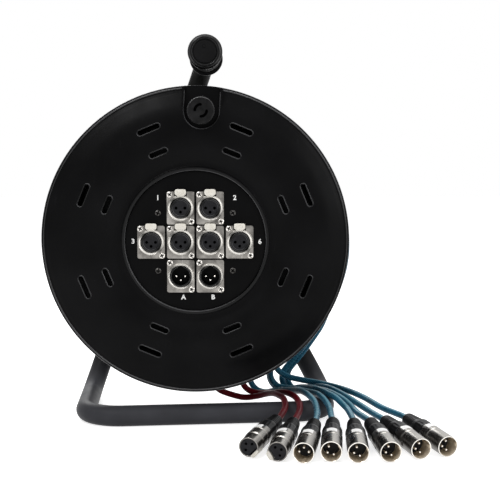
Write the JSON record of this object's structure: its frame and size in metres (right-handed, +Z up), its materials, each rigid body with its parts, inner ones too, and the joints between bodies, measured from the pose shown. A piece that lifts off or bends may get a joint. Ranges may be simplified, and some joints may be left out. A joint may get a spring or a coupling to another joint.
{
  "type": "stage box snake",
  "caption": "Multicore cable wound on a hand drum with a panel of three-pin sockets, a bent-tube stand with a carry handle, a winding knob, and a fan of tails with plugs.",
  "frame": {"origin": "floor, on the drum's axis left to right, midway between the knob's front and the weld collar's rear", "axes": "+Z up, the panel faces -Y, +X to the right of someone who faces the panel"},
  "size_m": [0.375, 0.3071, 0.3747],
  "materials": {
    "stand_paint": "satin black paint on steel tube",
    "drum_plastic": "moulded black, slightly grained",
    "grip_rubber": "matt",
    "panel_paint": "satin black",
    "bare_steel": "plain",
    "nickel": "satin nickel plating",
    "ivory_plastic": "smooth",
    "cable_sheath": "matt",
    "boot_rubber": "matt",
    "red_sheath": "smooth flexible sheath",
    "blue_sheath": "smooth flexible sheath"
  },
  "bodies": {
    "stand": {"stand_tube": "stand_paint", "handle_grip": "grip_rubber", "handle_cap": "drum_plastic", "axle": "bare_steel", "hub_plate": "stand_paint", "multicore_free_end": "cable_sheath", "breakout": "drum_plastic", "tail_a": "red_sheath", "tail_b": "red_sheath", "tail_1": "blue_sheath", "tail_2": "blue_sheath", "tail_3": "blue_sheath", "tail_4": "blue_sheath", "tail_5": "blue_sheath", "tail_6": "blue_sheath", "plug_shell_a": "nickel", "plug_shell_b": "nickel", "plug_shell_1": "nickel", "plug_shell_2": "nickel", "plug_shell_3": "nickel", "plug_shell_4": "nickel", "plug_shell_5": "nickel", "plug_shell_6": "nickel", "plug_boot_a": "boot_rubber", "plug_boot_b": "boot_rubber", "plug_boot_1": "boot_rubber", "plug_boot_2": "boot_rubber", "plug_boot_3": "boot_rubber", "plug_boot_4": "boot_rubber", "plug_boot_5": "boot_rubber", "plug_boot_6": "boot_rubber"},
    "drum": {"front_flange": "drum_plastic", "rear_flange": "drum_plastic", "drum_core": "drum_plastic", "bearing_web": "drum_plastic", "multicore_inner_layers": "cable_sheath", "multicore_winding": "cable_sheath", "panel_plate": "panel_paint", "panel_screw_upper_left": "bare_steel", "panel_screw_upper_right": "bare_steel", "panel_screw_lower_left": "bare_steel", "panel_screw_lower_right": "bare_steel", "socket_1": "nickel", "socket_2": "nickel", "socket_3": "nickel", "socket_4": "nickel", "socket_5": "nickel", "socket_6": "nickel", "socket_a": "nickel", "socket_b": "nickel", "knob_bolt": "bare_steel"},
    "knob": {"winding_knob": "drum_plastic"},
    "release_tab_1": {"socket_tab_1": "ivory_plastic"},
    "release_tab_2": {"socket_tab_2": "ivory_plastic"},
    "release_tab_3": {"socket_tab_3": "ivory_plastic"},
    "release_tab_4": {"socket_tab_4": "ivory_plastic"},
    "release_tab_5": {"socket_tab_5": "ivory_plastic"},
    "release_tab_6": {"socket_tab_6": "ivory_plastic"},
    "push_tab_a": {"plug_tab_a": "ivory_plastic"},
    "push_tab_b": {"plug_tab_b": "ivory_plastic"}
  },
  "joints": [
    {"name": "drum_spin", "type": "hinge", "parent": "stand", "child": "drum", "pos_m": [0, 0, 0.18], "axis": [0, 1, 0], "continuous": true},
    {"name": "knob_spin", "type": "hinge", "parent": "drum", "child": "knob", "pos_m": [0.006, 0, 0.3012], "axis": [0, 1, 0], "continuous": true},
    {"name": "release_tab_1_press", "type": "slide", "parent": "drum", "child": "release_tab_1", "axis": [0, 1, 0], "range_m": [0, 0.0015], "stiffness_N_per_m": 2000},
    {"name": "release_tab_2_press", "type": "slide", "parent": "drum", "child": "release_tab_2", "axis": [0, 1, 0], "range_m": [0, 0.0015], "stiffness_N_per_m": 2000},
    {"name": "release_tab_3_press", "type": "slide", "parent": "drum", "child": "release_tab_3", "axis": [0, 1, 0], "range_m": [0, 0.0015], "stiffness_N_per_m": 2000},
    {"name": "release_tab_4_press", "type": "slide", "parent": "drum", "child": "release_tab_4", "axis": [0, 1, 0], "range_m": [0, 0.0015], "stiffness_N_per_m": 2000},
    {"name": "release_tab_5_press", "type": "slide", "parent": "drum", "child": "release_tab_5", "axis": [0, 1, 0], "range_m": [0, 0.0015], "stiffness_N_per_m": 2000},
    {"name": "release_tab_6_press", "type": "slide", "parent": "drum", "child": "release_tab_6", "axis": [0, 1, 0], "range_m": [0, 0.0015], "stiffness_N_per_m": 2000},
    {"name": "push_tab_a_press", "type": "slide", "parent": "stand", "child": "push_tab_a", "axis": [-0.6744, 0.1849, 0.7149], "range_m": [0, 0.0012], "stiffness_N_per_m": 2000},
    {"name": "push_tab_b_press", "type": "slide", "parent": "stand", "child": "push_tab_b", "axis": [0.8387, -0.2399, 0.4889], "range_m": [0, 0.0012], "stiffness_N_per_m": 2000}
  ]
}
